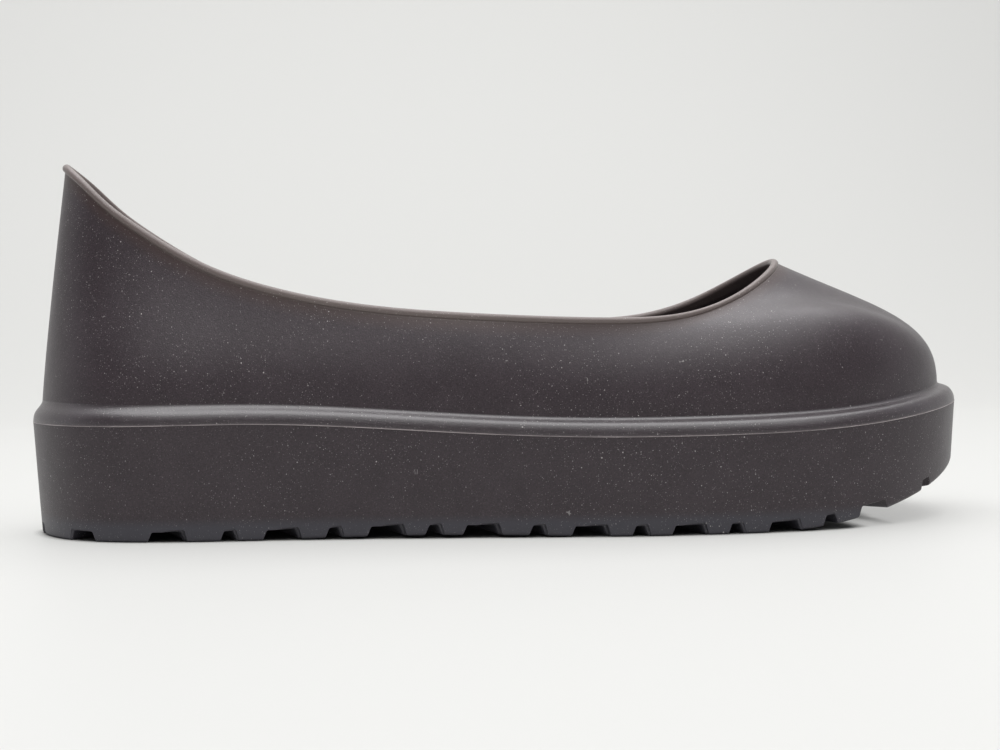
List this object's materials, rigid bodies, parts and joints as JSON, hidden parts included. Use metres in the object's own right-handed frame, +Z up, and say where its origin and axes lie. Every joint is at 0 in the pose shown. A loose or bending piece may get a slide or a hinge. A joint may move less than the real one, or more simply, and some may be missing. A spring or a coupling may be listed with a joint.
{
  "type": "rubber overshoe",
  "caption": "Low slip-on rubber overshoe for the right foot, with a thin upper, a rolled collar, a round bead at its foot and a deep sole with cross-cut lugs.",
  "frame": {"origin": "on the floor, under the middle of the shoe's length and width", "axes": "+X to the toe, +Y to the inner side of the foot, +Z up"},
  "size_m": [0.2908, 0.1096, 0.1123],
  "materials": {
    "upper_rubber": "matt moulded rubber, dark warm grey",
    "sole_rubber": "matt moulded rubber, dark warm grey, a little darker"
  },
  "bodies": {
    "root": {"upper": "upper_rubber", "outsole": "sole_rubber"}
  },
  "joints": []
}
